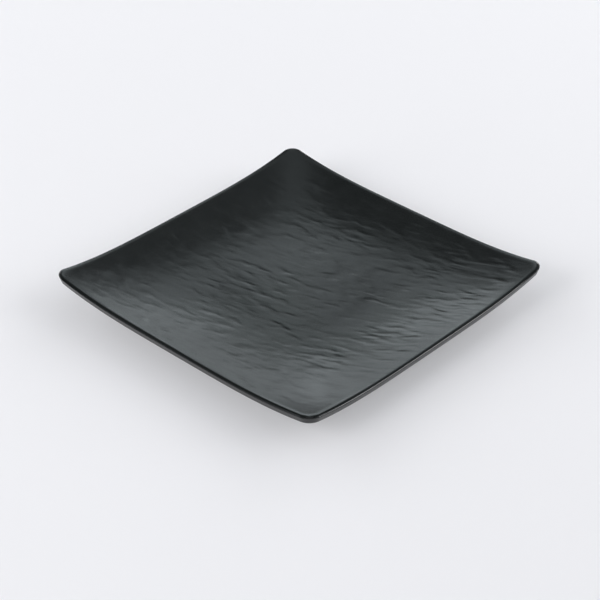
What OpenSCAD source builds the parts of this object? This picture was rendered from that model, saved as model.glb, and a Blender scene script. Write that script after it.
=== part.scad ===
// Square melamine dinner plate with raised corners.
// Two mouldings bonded face to face: a body with its foot, and a textured face layer over it.
// Z is up, the foot stands on z = 0, and the origin is under the centre of the plate.

/* [Plate] */
// Side length of the plate over its rim
plate_w = 255; // [200:1:320]
// Radius of the plate's corners in plan
corner_r = 10; // [5:0.5:20]
// Thickness of the whole wall, face layer included, measured straight down
wall_t = 6.6; // [5.8:0.1:8]
// Radius under the outer edge of the rim
under_edge_r = 3.4; // [1:0.1:3.6]

/* [Dish] */
// Width of the flat floor of the dish
well_w = 90; // [60:1:120]
// Height of the rim above that floor at the middle of a side
rim_rise = 11.5; // [6:0.5:20]
// Exponent of the dish in plan: 2 is round, and a higher one is squarer with lower corners
squareness = 3.8; // [3:0.1:6]

/* [Face layer] */
// Thickness of the textured face layer, and the radius over its outer edge
face_t = 2; // [1.2:0.1:2.2]

/* [Foot] */
// Outer width of the foot ring
foot_w = 136; // [110:1:180]
// Radius of the foot ring's outer corners in plan
foot_r = 20; // [12:1:30]
// Width of the foot's bearing face
foot_t = 4; // [3:0.1:8]
// Height of the foot ring above the surface that it stands on
foot_h = 2.7; // [2:0.1:5]
// Draft of each side wall of the foot, over its height
foot_draft = 0.5; // [0.2:0.1:1]

/* [Hidden] */

half_w = plate_w / 2;
well_half = well_w / 2;
foot_half = foot_w / 2;
// Height of the dish's floor
floor_z = foot_h + wall_t;
// Half width at which the face layer starts to round over the rim
edge_half = half_w - face_t;
// Half width at which the underside starts to round up to the rim
under_half = half_w - under_edge_r;
// How far the foot is made too long before it is ground flat
grind = 1;

// Steps along each straight side, round each corner and across each stretch of the section
side_steps = 20;
corner_steps = 6;
floor_steps = 2;
flank_steps = 10;
roll_steps = 5;

// Rise of the dish over its floor, at a point of the plan
function dish(p) =
    let (reach = pow(pow(abs(p.x), squareness) + pow(abs(p.y), squareness), 1 / squareness))
    let (beyond = max(0, reach - well_half) / (half_w - well_half))
    rim_rise * pow(beyond, 2);

// One side and one corner of a rounded square, anticlockwise from the start of its +X side
function quarter(half, r) =
    let (straight = half - r)
    concat(
        [for (i = [0 : side_steps - 1]) [half, straight * (2 * i / side_steps - 1)]],
        [for (i = [0 : corner_steps - 1])
            let (a = 90 * i / corner_steps)
            [straight + r * cos(a), straight + r * sin(a)]]
    );

function turned(p, a) = [p.x * cos(a) - p.y * sin(a), p.x * sin(a) + p.y * cos(a)];

function rounded_square(half, r) = [for (q = [0 : 3]) for (p = quarter(half, r)) turned(p, 90 * q)];

// A ring of the surface that lies a drop below the dish, and one that lies flat at a height
function dished(half, r, drop) =
    [for (p = rounded_square(half, r)) [p.x, p.y, floor_z + dish(p) - drop]];
function level(half, r, z) = [for (p = rounded_square(half, r)) [p.x, p.y, z]];

// Rings from the middle of the dish out to the rim's rounded edge, at a drop below the dish
function dish_rings(drop) =
    let (inner_r = (corner_r - face_t) / edge_half)
    concat(
        [for (i = [1 : floor_steps])
            let (half = well_half * i / floor_steps)
            dished(half, inner_r * half, drop)],
        [for (i = [1 : flank_steps])
            let (half = well_half + (edge_half - well_half) * i / flank_steps)
            dished(half, inner_r * half, drop)]
    );

// Rings round the top of the rim, from the face to the joint with the body
function top_roll_rings() =
    [for (i = [1 : roll_steps])
        let (a = 90 * i / roll_steps)
        let (inset = face_t * (1 - sin(a)))
        dished(half_w - inset, corner_r - inset, face_t * (1 - cos(a)))];

// Rings from the joint down the outside of the rim and under its lower edge
function under_roll_rings() =
    [for (i = [0 : roll_steps])
        let (a = 90 * i / roll_steps)
        let (inset = under_edge_r * (1 - cos(a)))
        dished(half_w - inset, corner_r - inset, wall_t - under_edge_r * (1 - sin(a)))];

// Rings across the underside, from the rim in to the foot
function underside_rings() =
    [for (i = [1 : flank_steps])
        let (t = i / flank_steps)
        let (r = corner_r - under_edge_r)
        dished(under_half + (foot_half - under_half) * t, r + (foot_r - r) * t, wall_t)];

// Rings down the foot's outside, across its bottom, up its inside and over the recess
function foot_rings() =
    let (slope = foot_draft / foot_h)
    let (low = slope * (foot_h + grind))
    let (mouth_inset = 2 * foot_draft + foot_t)
    concat(
        [
            level(foot_half - low, foot_r - low, -grind),
            level(foot_half - mouth_inset + low, foot_r - mouth_inset + low, -grind)
        ],
        [for (i = [floor_steps : -1 : 1])
            let (share = i / floor_steps)
            level((foot_half - mouth_inset) * share, (foot_r - mouth_inset) * share, foot_h)]
    );

function reversed(rings) = [for (i = [len(rings) - 1 : -1 : 0]) rings[i]];

// Closed skin over rings that run from the middle of the top, round the rim, to the middle below
module skin(rings, top_z, bottom_z) {
    count = len(rings[0]);
    last = len(rings) - 1;
    points = concat([for (ring = rings) each ring], [[0, 0, top_z], [0, 0, bottom_z]]);
    top = len(points) - 2;
    bottom = len(points) - 1;
    faces = concat(
        [for (j = [0 : count - 1]) [top, (j + 1) % count, j]],
        [for (i = [0 : last - 1]) for (j = [0 : count - 1])
            let (a = i * count + j)
            let (b = i * count + (j + 1) % count)
            each [[a, b, b + count], [a, b + count, a + count]]],
        [for (j = [0 : count - 1]) [bottom, last * count + j, last * count + (j + 1) % count]]
    );
    polyhedron(points = points, faces = faces);
}

// Lower moulding: the backing of the dish, the lower part of the rim and the foot ring
module moulded_body() {
    rim_joint = [dished(half_w, corner_r, face_t)];
    color("#1b1d1d")
    difference() {
        skin(
            concat(dish_rings(face_t), rim_joint, under_roll_rings(), underside_rings(), foot_rings()),
            floor_z - face_t,
            foot_h
        );
        // Grinds the foot flat on the plane that it stands on
        translate([-foot_w, -foot_w, -2 * grind])
            cube([2 * foot_w, 2 * foot_w, 2 * grind]);
    }
}

// Upper moulding: the textured face of the dish, rounded over the top of the rim
module textured_face() {
    color("#25292a")
    skin(
        concat(dish_rings(0), top_roll_rings(), reversed(dish_rings(face_t))),
        floor_z,
        floor_z - face_t
    );
}

moulded_body();
textured_face();
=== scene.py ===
"""Looks of a square melamine plate with a slate-like face, dressed over its CAD frame.

Everything is in metres, in the CAD frame: Z up, the foot on z = 0, the sides along X and Y.
"""
import math

import bpy
import numpy as np
from mathutils import Matrix, Vector


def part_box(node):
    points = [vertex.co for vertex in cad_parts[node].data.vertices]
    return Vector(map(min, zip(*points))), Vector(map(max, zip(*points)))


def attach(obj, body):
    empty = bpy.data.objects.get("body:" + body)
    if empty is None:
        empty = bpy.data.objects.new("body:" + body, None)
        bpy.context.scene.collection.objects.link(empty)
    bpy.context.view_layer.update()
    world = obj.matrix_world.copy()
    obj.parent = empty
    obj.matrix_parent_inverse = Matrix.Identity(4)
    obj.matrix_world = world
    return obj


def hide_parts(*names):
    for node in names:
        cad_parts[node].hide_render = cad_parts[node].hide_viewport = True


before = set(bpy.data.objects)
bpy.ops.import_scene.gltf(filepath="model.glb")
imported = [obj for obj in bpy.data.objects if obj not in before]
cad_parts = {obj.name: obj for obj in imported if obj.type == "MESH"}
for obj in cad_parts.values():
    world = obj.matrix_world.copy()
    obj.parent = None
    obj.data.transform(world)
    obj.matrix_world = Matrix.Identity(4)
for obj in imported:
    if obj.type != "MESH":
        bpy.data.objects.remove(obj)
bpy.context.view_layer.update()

MM = 0.001

# Sizes of the plate, as the CAD has them
HALF_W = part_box("textured_face")[1].x
CORNER_R = 10 * MM
WALL_T = 6.6 * MM
FACE_T = 2 * MM
WELL_HALF = 45 * MM
RIM_RISE = 11.5 * MM
SQUARENESS = 3.8
FOOT_HALF = 68 * MM
FOOT_R = 20 * MM
FOOT_T = 4 * MM
FOOT_H = 2.7 * MM
FOOT_DRAFT = 0.5 * MM
FLOOR_Z = FOOT_H + WALL_T
EDGE_HALF = HALF_W - FACE_T

# Fine joint between the two mouldings, a small groove round the outside of the rim
JOINT_BEVEL = 0.12 * MM

# Lean of the rim's outside below the joint, and the round under it
WALL_LEAN = math.radians(18)
UNDER_ROUND_R = 1.3 * MM

# Small rounds where the foot meets the underside, and at the edges that it stands on
FOOT_FILLET_R = 1 * MM
FOOT_EDGE_R = 0.6 * MM

# Rings across the recess inside the foot, as shares of its width, and how their corners tighten
RECESS_SHARES = 0.75, 0.5, 0.25
RECESS_R_SHARE = 0.75

# Widths at the rim over which the face curls down to the joint, and over which it turns smooth
CURL_W = 7 * MM
POLISH_W = 1.5 * MM

# Share of the relief that is left at the rim, and the width over which it fades to that
RIM_RELIEF = 0.35
RIM_FADE_W = 14 * MM

# Share of the relief that is lost towards the front and back corners, and where that starts and ends
CORNER_FADE = 0.7
CORNER_FADE_FROM = 0.5
CORNER_FADE_TO = 0.75

# How finely the meshes are cut, and the angle past which an edge is hard
FACE_CELLS_X = 105
FACE_CELLS_Y = 165
ROLL_STEPS = 8
BOND_STEPS = 6
BODY_SIDE_STEPS = 64
BODY_CORNER_STEPS = 20
BODY_FLANK_STEPS = 24
FILLET_STEPS = 5
HARD_ANGLE = math.radians(38)
TINY = 1e-9

# Sizes and noise of the slate-like relief: the inputs of its tree
FACE_INPUTS = {
    "Rim half width": HALF_W,
    "Well half width": WELL_HALF,
    "Rim rise": RIM_RISE,
    "Squareness": SQUARENESS,
    "Floor height": FLOOR_Z,
    "Groove depth mm": 0.21,
    "Groove length mm": 17.5,
    "Groove spacing mm": 6.8,
    "Groove lean mm": -4.0,
    "Ripple height mm": 0.19,
    "Ripple length mm": 13.0,
    "Ripple spacing mm": 4.6,
    "Grain slope": 0.22,
    "Grain bend per mm": 0.0006,
    "Grain change at sides": -0.55,
    "Wander mm": 3.8,
    "Wander length mm": 12.0,
    "Wander spacing mm": 16.0,
    "Patch size mm": 38.0,
    "Seed": 360.0,
    "Ripple seed step": 7.3,
}

# Spans of the noise or of the plan, and the shares of the relief at the two ends of each
NOISE_MIDDLE = 0.5
GROOVE_NOISE = 0.38, 0.8
GROOVE_SHARES = 0.28, -0.72
PATCH_NOISE = 0.34, 0.58
PATCH_SHARES = 0.4, 1.05
DEEPER_X_MM = -100.0, 100.0
DEEPER_SHARES = 0.85, 1.2
SHALLOWER_Y_MM = 40.0, 110.0
SHALLOWER_SHARES = 1.0, 0.65

# Finishes: sizes of their unevenness, the roughness that it gives, and colours from dark to pale
CLOUD_NOISE = 0.3, 0.7
MELAMINE_IOR = 1.5
SATIN_CLOUD = 14 * MM
SATIN_ROUGHNESS = 0.175, 0.215
SATIN_TONES = "#131515", "#181a1a"
CREST_RELIEF_MM = -0.06, 0.06
CREST_ROUGHNESS = 0.015, -0.02
POLISHED_ROUGHNESS = 0.06
GRIT_SIZE = 0.9 * MM
GRIT_DEPTH = 0.05 * MM
GLOSS_CLOUD = 9 * MM
GLOSS_ROUGHNESS = 0.1, 0.14
GLOSS_TONES = "#1a1c1c", "#1f2121"
WAVE_SIZE = 6 * MM
WAVE_DEPTH = 0.1 * MM

# Camera, solved from the outline of the plate in a frame of 600 by 600 pixels, angles in degrees
FRAME_PX = 600
FOCAL_PX = 1886.6
SENSOR_MM = 36
CAMERA_AZIMUTH = -47.205
CAMERA_ELEVATION = 34.669
CAMERA_DISTANCE = 1379.4 * MM
CAMERA_AIM = Vector((9.45, -10.26, 8.5)) * MM
CAMERA_ROLL = 0.181

# Soft boxes: azimuth anticlockwise from +X, elevation, width and height in degrees, strength, colour
LAMP_DISTANCE = 2.4
SOFT_BOXES = (
    ("right_strip", 40.5, 15.5, 7, 19, 9.5, "#ffffff"),
    ("right_sweep", 58, 26, 88, 36, 0.7, "#f4faff"),
    ("back_right_panel", 112, 18, 14, 20, 4.9, "#ffffff"),
    ("back_sweep_right", 124, 18.5, 19, 16, 1.22, "#f0fbff"),
    ("back_sweep_left", 145, 18.5, 23, 16.5, 1.34, "#f0fbff"),
    ("back_patch", 133, 34, 12, 14, 0.5, "#eefbff"),
    ("back_strip", 133, 47, 6, 42, 0.54, "#eefbff"),
    ("high_right_box", 107, 50, 26, 22, 0.18, "#eefbff"),
    ("high_left_box", 160, 53, 26, 22, 0.09, "#eefbff"),
    ("back_left_panel", 164, 18, 12, 20, 3.9, "#ffffff"),
    ("left_sweep", 198, 26, 54, 32, 0.7, "#f4faff"),
    ("camera_side_sweep", 318, 26, 96, 28, 0.5, "#f4faff"),
    ("overhead_box", 313, 89, 36, 36, 0.55, "#f4faff"),
)

# Fill for the floor, left out of reflections, so that the plate stays near black from all sides
FILL_BOXES = (
    ("right_fill", 46, 26, 60, 44, 2.35, "#ffffff"),
    ("back_right_fill", 95, 18, 18, 20, 4.2, "#ffffff"),
    ("back_left_fill", 178, 18, 16, 20, 3.2, "#ffffff"),
    ("left_fill", 205, 22, 40, 32, 2.3, "#ffffff"),
    ("front_fill", 255, 23, 30, 38, 6.6, "#ffffff"),
)

# The dim room, its pale horizon, and the rise of a direction over which one turns into the other
ROOM_COLOUR = "#1c1c1d"
HORIZON_COLOUR = "#ebebee"
HORIZON_RISE = 0.02, 0.08

# The floor, how far it reaches, and its glow near the plate and far from it
FLOOR_COLOUR = "#d1d0d3"
FLOOR_GLOW_COLOUR = "#fcfdff"
FLOOR_REACH = 30.0
GLOW_DISTANCES = 0.6, 3.0
GLOW_STRENGTHS = 0.205, 0.8

# Kinds of node that are used often
MATH = "ShaderNodeMath"
COMBINE = "ShaderNodeCombineXYZ"
SEPARATE = "ShaderNodeSeparateXYZ"
NOISE = "ShaderNodeTexNoise"
RANGE = "ShaderNodeMapRange"
MIX = "ShaderNodeMix"

# Places of a Mix node's sockets for colours, whose names its other sockets share
MIX_SHARE = 0
MIX_FROM = 6
MIX_TO = 7
MIXED_COLOUR = 2


def linear(hex_colour):
    """An sRGB hex colour as linear RGBA."""
    shares = [int(hex_colour[i:i + 2], 16) / 255 for i in (1, 3, 5)]
    return [s / 12.92 if s <= 0.04045 else ((s + 0.055) / 1.055) ** 2.4 for s in shares] + [1.0]


def add_node(tree, kind, *inputs, named=None, out=0, **settings):
    """Adds a node with its settings, links or sets its inputs, and returns one of its outputs."""
    made = tree.nodes.new(kind)
    for name, value in settings.items():
        setattr(made, name, value)
    given = list(zip(made.inputs, inputs)) + [(made.inputs[n], v) for n, v in (named or {}).items()]
    for socket, value in given:
        if isinstance(value, bpy.types.NodeSocket):
            tree.links.new(value, socket)
        else:
            socket.default_value = value
    return made.outputs[out]


def new_material(name):
    """An empty node material, its tree and its output node."""
    material = bpy.data.materials.new(name)
    material.use_nodes = True
    material.node_tree.nodes.clear()
    output = material.node_tree.nodes.new("ShaderNodeOutputMaterial")
    return material, material.node_tree, output


def satin_melamine():
    """Black melamine pressed against an etched mould: a satin skin that blurs what it reflects, slightly
    uneven in tone and gloss, duller in its grooves than on its crests, and smooth over the rim."""
    material, tree, output = new_material("melamine_satin_slate_moulded")
    place = add_node(tree, "ShaderNodeTexCoord", out="Object")
    cloud = add_node(tree, NOISE, place, named={"Scale": 1 / SATIN_CLOUD, "Detail": 3.0})
    satin = add_node(tree, RANGE, cloud, *CLOUD_NOISE, *SATIN_ROUGHNESS)
    relief = add_node(tree, "ShaderNodeAttribute", out="Fac", attribute_name="relief_mm")
    crest = add_node(tree, RANGE, relief, *CREST_RELIEF_MM, *CREST_ROUGHNESS)
    satin = add_node(tree, MATH, satin, crest, operation="ADD")
    dark, pale = SATIN_TONES
    tone = add_node(tree, MIX, out=MIXED_COLOUR, data_type="RGBA", named={
        MIX_SHARE: cloud, MIX_FROM: linear(dark), MIX_TO: linear(pale)})
    polish = add_node(tree, "ShaderNodeAttribute", out="Fac", attribute_name="polish")
    roughness = add_node(tree, RANGE, polish, 0.0, 1.0, satin, POLISHED_ROUGHNESS)

    # Etched grit, drawn coarser than the real one so that it shows
    grit = add_node(tree, NOISE, place, named={"Scale": 1 / GRIT_SIZE, "Detail": 2.0})
    bump = add_node(tree, "ShaderNodeBump", named={
        "Strength": 0.12, "Distance": GRIT_DEPTH, "Height": grit})
    shade = add_node(tree, "ShaderNodeBsdfPrincipled", named={
        "Base Color": tone, "Roughness": roughness, "IOR": MELAMINE_IOR, "Normal": bump})
    tree.links.new(shade, output.inputs["Surface"])
    return material


def gloss_melamine():
    """Black melamine pressed against a polished mould: smooth and fairly glossy, with a faint
    unevenness that breaks up long reflections."""
    material, tree, output = new_material("melamine_gloss_moulded")
    place = add_node(tree, "ShaderNodeTexCoord", out="Object")
    cloud = add_node(tree, NOISE, place, named={"Scale": 1 / GLOSS_CLOUD, "Detail": 3.0})
    roughness = add_node(tree, RANGE, cloud, *CLOUD_NOISE, *GLOSS_ROUGHNESS)
    dark, pale = GLOSS_TONES
    tone = add_node(tree, MIX, out=MIXED_COLOUR, data_type="RGBA", named={
        MIX_SHARE: cloud, MIX_FROM: linear(dark), MIX_TO: linear(pale)})
    wave = add_node(tree, NOISE, place, named={"Scale": 1 / WAVE_SIZE, "Detail": 1.0})
    bump = add_node(tree, "ShaderNodeBump", named={
        "Strength": 0.05, "Distance": WAVE_DEPTH, "Height": wave})
    shade = add_node(tree, "ShaderNodeBsdfPrincipled", named={
        "Base Color": tone, "Roughness": roughness, "IOR": MELAMINE_IOR, "Normal": bump})
    tree.links.new(shade, output.inputs["Surface"])
    return material


def finished_piece(name, mesh):
    """A smooth-shaded object at the origin, with its hard edges kept."""
    mesh.shade_smooth()
    mesh.set_sharp_from_angle(angle=HARD_ANGLE)
    piece = bpy.data.objects.new(name, mesh)
    bpy.context.scene.collection.objects.link(piece)
    return piece


def dish(x, y):
    """Height of the dish over its floor."""
    reach = (np.abs(x) ** SQUARENESS + np.abs(y) ** SQUARENESS) ** (1 / SQUARENESS)
    beyond = np.maximum(0, reach - WELL_HALF) / (HALF_W - WELL_HALF)
    return RIM_RISE * beyond ** 2


def rounded_square(u, v, half, r):
    """Moves points of the square with corners at (1, 1) onto a rounded square of a half width."""
    along = np.minimum(np.abs(u), np.abs(v)) * half
    straight = half - r
    turn = np.clip((along - straight) / np.maximum(r, TINY), 0, 1) * math.pi / 4
    major = straight + r * np.cos(turn)
    minor = np.minimum(along, straight) + r * np.sin(turn)
    wide = np.abs(u) >= np.abs(v)
    return np.sign(u) * np.where(wide, major, minor), np.sign(v) * np.where(wide, minor, major)


def curl_drop(inset):
    """How far the face has curled down at an inset from the rim: level at first, upright at the rim."""
    near = np.clip(1 - inset / CURL_W, 0, 1)
    return FACE_T * (1 - np.sqrt(1 - near ** 4))


def smooth_share(values, start, end):
    """A share that eases from 0 to 1 while the values go from a start to an end."""
    share = np.clip((values - start) / (end - start), 0, 1)
    return share * share * (3 - 2 * share)


def skirt_faces(first, loop, count):
    """Quads from one loop of vertices to the next, for loops that follow each other in the list."""
    faces = []
    low = loop
    for k in range(count):
        high = first + k * len(loop) + np.arange(len(loop))
        faces.append(np.stack([low, high, np.roll(high, -1), np.roll(low, -1)], 1))
        low = high
    return np.concatenate(faces)


def face_sheet():
    """Flat plan of the face layer: its top, the roll over the rim and the bond under it, unlifted."""
    columns = np.arange(-FACE_CELLS_X, FACE_CELLS_X + 1)
    lines = np.arange(-FACE_CELLS_Y, FACE_CELLS_Y + 1)
    i, j = np.meshgrid(columns, lines)
    u, v = (i / FACE_CELLS_X).ravel(), (j / FACE_CELLS_Y).ravel()
    ring = np.maximum(np.abs(u), np.abs(v))
    safe = np.maximum(ring, TINY)
    half = EDGE_HALF * ring
    x, y = rounded_square(u / safe, v / safe, half, (CORNER_R - FACE_T) * ring ** 3)
    number = np.arange(i.size).reshape(i.shape)
    cells = [number[:-1, :-1], number[:-1, 1:], number[1:, 1:], number[1:, :-1]]
    border = np.concatenate([number[0, :-1], number[:-1, -1], number[-1, :0:-1], number[:0:-1, 0]])

    # How smooth the top is, and how much of the relief it keeps
    inset = HALF_W - half
    polish = 1 - np.clip((inset - FACE_T) / POLISH_W, 0, 1)
    weight = RIM_RELIEF + (1 - RIM_RELIEF) * smooth_share(inset - FACE_T, 0, RIM_FADE_W)
    weight = weight * (1 - CORNER_FADE * smooth_share(-u * v, CORNER_FADE_FROM, CORNER_FADE_TO))

    # Rows round the rim and under the layer: an inset, a drop below the dish and a half width to inset
    start = math.asin((1 - FACE_T / CURL_W) ** 2)
    rows = [(CURL_W * (1 - math.sqrt(math.sin(a))), FACE_T * (1 - math.cos(a)), HALF_W)
            for a in np.linspace(start, math.pi / 2, ROLL_STEPS + 1)[1:-1]]
    rows += [(0, FACE_T - JOINT_BEVEL, HALF_W), (JOINT_BEVEL, FACE_T, HALF_W)]
    rows += [(0, FACE_T, HALF_W * (1 - t)) for t in np.linspace(0, 1, BOND_STEPS + 1)[1:-1]]
    roll_fade = np.linspace(1, 0, ROLL_STEPS + 1)[1:-1]
    fade = np.concatenate([roll_fade, np.zeros(len(rows) - len(roll_fade))])
    xs, ys, drops, weights, polishes = [x], [y], [curl_drop(inset)], [weight], [polish]
    for (row_inset, drop, reach), share in zip(rows, fade):
        row_r = CORNER_R * reach / HALF_W - row_inset
        row_x, row_y = rounded_square(u[border], v[border], reach - row_inset, row_r)
        xs.append(row_x)
        ys.append(row_y)
        drops.append(np.full(len(border), drop))
        weights.append(weight[border] * share)
        polishes.append(np.ones(len(border)))

    # The middle of the bond, and the faces
    pole = i.size + len(rows) * len(border)
    last = pole - len(border) + np.arange(len(border))
    xs.append([0.0])
    ys.append([0.0])
    drops.append([FACE_T])
    weights.append([0.0])
    polishes.append([1.0])
    points = np.stack([np.concatenate(xs), np.concatenate(ys), np.zeros(pole + 1)], 1)
    quads = [np.stack(cells, -1).reshape(-1, 4), skirt_faces(i.size, border, len(rows))]
    fan = np.stack([last, np.full(len(border), pole), np.roll(last, -1)], 1)
    mesh = bpy.data.meshes.new("face_sheet")
    mesh.from_pydata(points.tolist(), [], np.concatenate(quads).tolist() + fan.tolist())
    for name, values in (("drop", drops), ("relief_weight", weights), ("polish", polishes)):
        values = np.concatenate(values).astype(np.float32)
        mesh.attributes.new(name, "FLOAT", "POINT").data.foreach_set("value", values)
    return mesh


def grain_noise(tree, along, across, length, spacing, seed):
    """Noise stretched along the grain: a length and a spacing in millimetres set its cells."""
    along_at = add_node(tree, MATH, along, length, operation="DIVIDE")
    across_at = add_node(tree, MATH, across, spacing, operation="DIVIDE")
    at = add_node(tree, COMBINE, along_at, across_at, seed)
    return add_node(tree, NOISE, at, named={"Scale": 1.0, "Detail": 1.0, "Roughness": 0.4})


def slate_face_tree(material):
    """Geometry Nodes that lift a flat sheet to the dish and give it wavy, cleft ripples."""
    tree = bpy.data.node_groups.new("slate_face", "GeometryNodeTree")
    tree.interface.new_socket("Geometry", in_out="INPUT", socket_type="NodeSocketGeometry")
    tree.interface.new_socket("Geometry", in_out="OUTPUT", socket_type="NodeSocketGeometry")
    for name in FACE_INPUTS:
        tree.interface.new_socket(name, in_out="INPUT", socket_type="NodeSocketFloat")
    start = tree.nodes.new("NodeGroupInput")
    size = {name: start.outputs[name] for name in FACE_INPUTS}
    position = add_node(tree, "GeometryNodeInputPosition")
    x = add_node(tree, SEPARATE, position)
    y = x.node.outputs["Y"]

    # Height of the dish from its reach in plan
    x_size = add_node(tree, MATH, x, operation="ABSOLUTE")
    y_size = add_node(tree, MATH, y, operation="ABSOLUTE")
    x_power = add_node(tree, MATH, x_size, size["Squareness"], operation="POWER")
    y_power = add_node(tree, MATH, y_size, size["Squareness"], operation="POWER")
    total = add_node(tree, MATH, x_power, y_power, operation="ADD")
    root = add_node(tree, MATH, 1.0, size["Squareness"], operation="DIVIDE")
    reach = add_node(tree, MATH, total, root, operation="POWER")
    flank = size["Well half width"], size["Rim half width"]
    beyond = add_node(tree, RANGE, reach, *flank, 0.0, 1.0, clamp=False)
    beyond = add_node(tree, MATH, beyond, 0.0, operation="MAXIMUM")
    beyond = add_node(tree, MATH, beyond, 2.0, operation="POWER")
    rise = add_node(tree, MATH, beyond, size["Rim rise"], operation="MULTIPLY")
    height = add_node(tree, MATH, rise, size["Floor height"], operation="ADD")
    drop = add_node(tree, "GeometryNodeInputNamedAttribute", "drop", data_type="FLOAT")
    height = add_node(tree, MATH, height, drop, operation="SUBTRACT")

    # Grain along X that bends up towards +X and lies flatter near the two sides along X
    x_mm = add_node(tree, MATH, x, 1 / MM, operation="MULTIPLY")
    y_mm = add_node(tree, MATH, y, 1 / MM, operation="MULTIPLY")
    bend = size["Grain bend per mm"], size["Grain slope"]
    slope = add_node(tree, MATH, x_mm, *bend, operation="MULTIPLY_ADD")
    lift = add_node(tree, MATH, slope, x_mm, operation="MULTIPLY")
    to_edge = add_node(tree, MATH, y, size["Rim half width"], operation="DIVIDE")
    to_edge = add_node(tree, MATH, to_edge, 2.0, operation="POWER")
    flatter = add_node(tree, MATH, to_edge, size["Grain change at sides"], 1.0, operation="MULTIPLY_ADD")
    lift = add_node(tree, MATH, lift, flatter, operation="MULTIPLY")
    across = add_node(tree, MATH, y_mm, lift, operation="SUBTRACT")
    wander_size = size["Wander length mm"], size["Wander spacing mm"]
    wander = grain_noise(tree, x_mm, across, *wander_size, size["Seed"])
    wander = add_node(tree, MATH, wander, NOISE_MIDDLE, operation="SUBTRACT")
    across = add_node(tree, MATH, wander, size["Wander mm"], across, operation="MULTIPLY_ADD")

    # Cleft grooves: short dashes along the grain, each with one side steeper than the other
    groove_size = size["Groove length mm"], size["Groove spacing mm"]
    upright = grain_noise(tree, x_mm, across, *groove_size, size["Seed"])
    leaned = add_node(tree, MATH, upright, size["Groove lean mm"], across, operation="MULTIPLY_ADD")
    groove = grain_noise(tree, x_mm, leaned, *groove_size, size["Seed"])
    groove = add_node(tree, RANGE, groove, *GROOVE_NOISE, *GROOVE_SHARES, interpolation_type="SMOOTHSTEP")
    groove = add_node(tree, MATH, groove, size["Groove depth mm"], operation="MULTIPLY")

    # Finer ripples between the grooves
    ripple_seed = add_node(tree, MATH, size["Seed"], size["Ripple seed step"], operation="ADD")
    ripple_size = size["Ripple length mm"], size["Ripple spacing mm"]
    ripple = grain_noise(tree, x_mm, across, *ripple_size, ripple_seed)
    ripple = add_node(tree, MATH, ripple, NOISE_MIDDLE, operation="SUBTRACT")
    relief = add_node(tree, MATH, ripple, size["Ripple height mm"], groove, operation="MULTIPLY_ADD")

    # Patches where the relief fades out, deeper towards +X, shallower towards +Y and at the rim
    patch = grain_noise(tree, x_mm, y_mm, size["Patch size mm"], size["Patch size mm"], size["Seed"])
    patch = add_node(tree, RANGE, patch, *PATCH_NOISE, *PATCH_SHARES, interpolation_type="SMOOTHSTEP")
    deeper = add_node(tree, RANGE, x_mm, *DEEPER_X_MM, *DEEPER_SHARES)
    patch = add_node(tree, MATH, patch, deeper, operation="MULTIPLY")
    shallower = add_node(tree, RANGE, y_mm, *SHALLOWER_Y_MM, *SHALLOWER_SHARES)
    patch = add_node(tree, MATH, patch, shallower, operation="MULTIPLY")
    weight = add_node(tree, "GeometryNodeInputNamedAttribute", "relief_weight", data_type="FLOAT")
    relief = add_node(tree, MATH, relief, patch, operation="MULTIPLY")
    relief = add_node(tree, MATH, relief, weight, operation="MULTIPLY")
    height = add_node(tree, MATH, relief, MM, height, operation="MULTIPLY_ADD")

    # The lifted sheet, with its relief kept for the material
    place = add_node(tree, COMBINE, x, y, height)
    flat = start.outputs["Geometry"]
    lifted = add_node(tree, "GeometryNodeSetPosition", flat, named={"Position": place})
    marked = add_node(tree, "GeometryNodeStoreNamedAttribute", lifted, data_type="FLOAT", domain="POINT",
                      named={"Name": "relief_mm", "Value": relief})
    solid = add_node(tree, "GeometryNodeRealizeInstances", marked)
    finished = add_node(tree, "GeometryNodeSetMaterial", solid, named={"Material": material})
    end = tree.nodes.new("NodeGroupOutput")
    tree.links.new(finished, end.inputs["Geometry"])
    return tree


def textured_face(material):
    """The upper moulding, made by the slate face tree and turned into a plain mesh."""
    sheet = bpy.data.objects.new("face_sheet", face_sheet())
    bpy.context.scene.collection.objects.link(sheet)
    tree = slate_face_tree(material)
    modifier = sheet.modifiers.new("slate_face", "NODES")
    modifier.node_group = tree
    for socket in tree.interface.items_tree:
        if socket.in_out == "INPUT" and socket.name in FACE_INPUTS:
            modifier[socket.identifier] = FACE_INPUTS[socket.name]
    evaluated = sheet.evaluated_get(bpy.context.evaluated_depsgraph_get())
    mesh = bpy.data.meshes.new_from_object(evaluated)
    mesh.name = "slate_face_layer"
    bpy.data.objects.remove(sheet)
    return finished_piece("slate_face_layer", mesh)


def arc(centre, r, start, end):
    """Points of a small round in the plane of the section, angles in degrees."""
    return [(centre[0] + r * math.cos(math.radians(a)), centre[1] + r * math.sin(math.radians(a)))
            for a in np.linspace(start, end, FILLET_STEPS + 1)]


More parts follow.
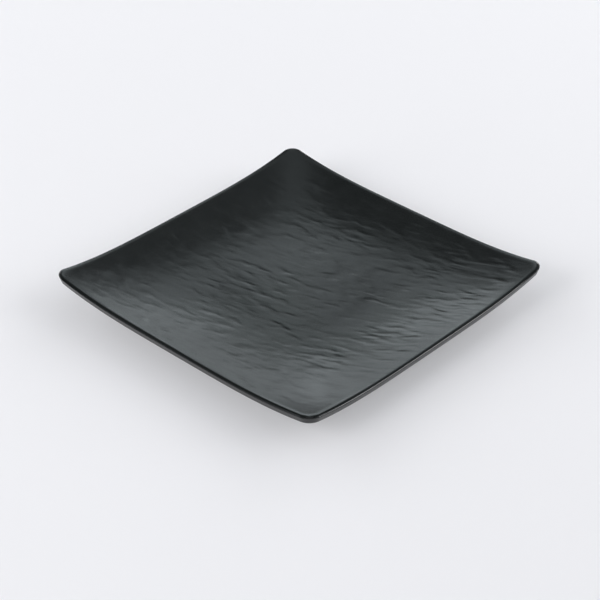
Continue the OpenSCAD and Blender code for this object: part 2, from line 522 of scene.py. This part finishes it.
def body_rings():
    """Rings of the lower moulding from the bond, round the rim's outside and the underside, to the foot.

    Each has a half width and a corner radius, then a drop below the dish or else a height.
    """
    rings = []
    inner_r = CORNER_R / HALF_W
    for t in np.linspace(0, 1, BOND_STEPS + 1)[1:]:
        half = HALF_W * t - (JOINT_BEVEL if t == 1 else 0)
        rings.append((half, inner_r * half, FACE_T, None))

    # The leaning outside of the rim and the round under it
    lean_top = FACE_T + JOINT_BEVEL
    rings.append((HALF_W, CORNER_R, lean_top, None))
    lean_end = WALL_T - UNDER_ROUND_R * (1 - math.sin(WALL_LEAN))
    round_at = (lean_end - lean_top) * math.tan(WALL_LEAN) + UNDER_ROUND_R * math.cos(WALL_LEAN)
    for a in np.linspace(WALL_LEAN, math.pi / 2, ROLL_STEPS + 1):
        inset = round_at - UNDER_ROUND_R * math.cos(a)
        drop = WALL_T - UNDER_ROUND_R * (1 - math.sin(a))
        rings.append((HALF_W - inset, CORNER_R - inset, drop, None))

    # The underside, and the fillet where it meets the foot
    under_half, under_r = HALF_W - round_at, CORNER_R - round_at
    for t in np.linspace(0, 1, BODY_FLANK_STEPS + 1)[1:-1]:
        rings.append((under_half + (FOOT_HALF + FOOT_FILLET_R - under_half) * t,
                      under_r + (FOOT_R - under_r) * t, WALL_T, None))
    for a in np.linspace(0, 90, FILLET_STEPS + 1):
        out = FOOT_FILLET_R * (1 - math.sin(math.radians(a)))
        down = FOOT_FILLET_R * (1 - math.cos(math.radians(a)))
        rings.append((FOOT_HALF + out, FOOT_R + out, WALL_T + down, None))

    # The foot's two edges, the fillet inside it and the recess
    outer_edge = arc((-FOOT_EDGE_R, FOOT_EDGE_R), FOOT_EDGE_R, 0, -90)
    inner_edge = arc((FOOT_EDGE_R, FOOT_EDGE_R), FOOT_EDGE_R, -90, -180)
    inner_fillet = arc((-FOOT_FILLET_R, -FOOT_FILLET_R), FOOT_FILLET_R, 0, 90)
    inside = -2 * FOOT_DRAFT - FOOT_T
    foot = [(-FOOT_DRAFT + x, z) for x, z in outer_edge]
    foot += [(inside + FOOT_DRAFT + x, z) for x, z in inner_edge]
    foot += [(inside + x, FOOT_H + z) for x, z in inner_fillet]
    for out, z in foot:
        rings.append((FOOT_HALF + out, FOOT_R + out, None, z))
    end_half = rings[-1][0]
    for share in RECESS_SHARES:
        rings.append((end_half * share, rings[-1][1] * RECESS_R_SHARE, None, FOOT_H))
    return rings


def moulded_body(material):
    """The lower moulding: a closed skin over its rings and the middles of its bond and recess."""
    rings = body_rings()
    straight = np.linspace(-1, 1, BODY_SIDE_STEPS + 1)[:-1]
    turns = np.linspace(0, math.pi / 2, BODY_CORNER_STEPS + 1)[:-1]
    points = [(0, 0, FLOOR_Z - FACE_T)]
    for half, r, drop, z in rings:
        flat = half - r
        side = np.stack([np.full(BODY_SIDE_STEPS, half), flat * straight], 1)
        corner = np.stack([flat + r * np.cos(turns), flat + r * np.sin(turns)], 1)
        quarter = np.concatenate([side, corner])
        for turn in range(4):
            c, s = round(math.cos(turn * math.pi / 2)), round(math.sin(turn * math.pi / 2))
            x, y = quarter[:, 0] * c - quarter[:, 1] * s, quarter[:, 0] * s + quarter[:, 1] * c
            height = FLOOR_Z + dish(x, y) - drop if z is None else np.full(len(x), z)
            points += np.stack([x, y, height], 1).tolist()
    points.append((0, 0, FOOT_H))
    count = 4 * (BODY_SIDE_STEPS + BODY_CORNER_STEPS)
    loop = 1 + np.arange(count)
    last = loop + (len(rings) - 1) * count
    top_fan = np.stack([np.zeros(count, int), loop, np.roll(loop, -1)], 1)
    bottom_fan = np.stack([np.full(count, len(points) - 1), np.roll(last, -1), last], 1)
    quads = skirt_faces(1 + count, loop, len(rings) - 1)
    mesh = bpy.data.meshes.new("moulded_body_and_foot")
    mesh.from_pydata(points, [], quads.tolist() + top_fan.tolist() + bottom_fan.tolist())
    mesh.materials.append(material)
    return finished_piece("moulded_body_and_foot", mesh)


def heading(azimuth, elevation):
    """Unit vector of an azimuth, anticlockwise from +X, and an elevation, in degrees."""
    a, e = math.radians(azimuth), math.radians(elevation)
    return Vector((math.cos(a) * math.cos(e), math.sin(a) * math.cos(e), math.sin(e)))


def place_camera():
    """A camera at the photograph's viewing angle."""
    back = heading(CAMERA_AZIMUTH, CAMERA_ELEVATION)
    right = heading(CAMERA_AZIMUTH + 90, 0)
    up = back.cross(right)
    roll = Matrix.Rotation(math.radians(CAMERA_ROLL), 3, "Z")
    turn = Matrix((right, up, back)).transposed() @ roll
    data = bpy.data.cameras.new("camera")
    data.sensor_width = SENSOR_MM
    data.lens = FOCAL_PX / FRAME_PX * SENSOR_MM
    camera = bpy.data.objects.new("camera", data)
    camera.matrix_world = Matrix.Translation(CAMERA_AIM + back * CAMERA_DISTANCE) @ turn.to_4x4()
    bpy.context.scene.collection.objects.link(camera)
    bpy.context.scene.camera = camera


def pale_floor():
    """A large white opal table top, lit a little from below, so shadows on it stay pale."""
    material, tree, output = new_material("table_top_opal_acrylic")
    seen = add_node(tree, "ShaderNodeLightPath", out="Is Camera Ray")
    rays = seen.node.outputs
    glow = add_node(tree, MATH, seen, rays["Is Glossy Ray"], operation="ADD")
    glow = add_node(tree, MATH, glow, rays["Is Transmission Ray"], operation="ADD")
    place = add_node(tree, "ShaderNodeTexCoord", out="Object")
    away = add_node(tree, "ShaderNodeVectorMath", place, operation="LENGTH", out="Value")
    strength = add_node(tree, RANGE, away, *GLOW_DISTANCES, *GLOW_STRENGTHS,
                        interpolation_type="SMOOTHSTEP")
    glow = add_node(tree, MATH, glow, strength, operation="MULTIPLY")
    shade = add_node(tree, "ShaderNodeBsdfPrincipled", named={
        "Base Color": linear(FLOOR_COLOUR), "Roughness": 0.8, "Specular IOR Level": 0.0,
        "Emission Color": linear(FLOOR_GLOW_COLOUR), "Emission Strength": glow})
    tree.links.new(shade, output.inputs["Surface"])
    corners = [(x * FLOOR_REACH, y * FLOOR_REACH, 0) for x, y in ((-1, -1), (1, -1), (1, 1), (-1, 1))]
    mesh = bpy.data.meshes.new("floor")
    mesh.from_pydata(corners, [], [(0, 1, 2, 3)])
    mesh.materials.append(material)
    floor = bpy.data.objects.new("floor", mesh)
    bpy.context.scene.collection.objects.link(floor)


def soft_box(name, azimuth, elevation, width, height, strength, colour):
    """A one-sided rectangle of light that faces the plate."""
    data = bpy.data.lights.new(name, "AREA")
    data.shape = "RECTANGLE"
    data.size = 2 * LAMP_DISTANCE * math.tan(math.radians(width / 2))
    data.size_y = 2 * LAMP_DISTANCE * math.tan(math.radians(height / 2))
    data.energy = strength * math.pi * data.size * data.size_y
    data.color = linear(colour)[:3]
    lamp = bpy.data.objects.new(name, data)
    out = heading(azimuth, elevation)
    facing = out.to_track_quat("Z", "Y").to_matrix().to_4x4()
    lamp.matrix_world = Matrix.Translation(out * LAMP_DISTANCE) @ facing
    lamp.visible_camera = False
    bpy.context.scene.collection.objects.link(lamp)
    return lamp


def studio_light():
    """Soft light round the plate, mostly low from the back, in a dim room with a pale horizon."""
    world = bpy.data.worlds.new("studio")
    world.use_nodes = True
    bpy.context.scene.world = world
    tree = world.node_tree
    tree.nodes.clear()
    seen = add_node(tree, "ShaderNodeLightPath", out="Is Camera Ray")
    rays = seen.node.outputs
    mirrored = add_node(tree, MATH, rays["Is Glossy Ray"], rays["Is Transmission Ray"], operation="ADD")
    direction = add_node(tree, "ShaderNodeTexCoord", out="Generated")
    rise = add_node(tree, SEPARATE, direction, out="Z")
    horizon = add_node(tree, RANGE, rise, *HORIZON_RISE, 1.0, 0.0, interpolation_type="SMOOTHSTEP")
    pale = add_node(tree, MATH, mirrored, horizon, seen, operation="MULTIPLY_ADD")
    colour = add_node(tree, MIX, out=MIXED_COLOUR, data_type="RGBA", named={
        MIX_SHARE: pale, MIX_FROM: linear(ROOM_COLOUR), MIX_TO: linear(HORIZON_COLOUR)})
    background = add_node(tree, "ShaderNodeBackground", colour)
    output = tree.nodes.new("ShaderNodeOutputWorld")
    tree.links.new(background, output.inputs["Surface"])
    for box in SOFT_BOXES:
        soft_box(*box)
    for box in FILL_BOXES:
        soft_box(*box).visible_glossy = False


place_camera()
studio_light()
pale_floor()
bpy.context.scene.view_settings.view_transform = "Standard"

slate_face = textured_face(satin_melamine())
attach(slate_face, "root")
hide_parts("textured_face")

body = moulded_body(gloss_melamine())
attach(body, "root")
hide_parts("moulded_body")
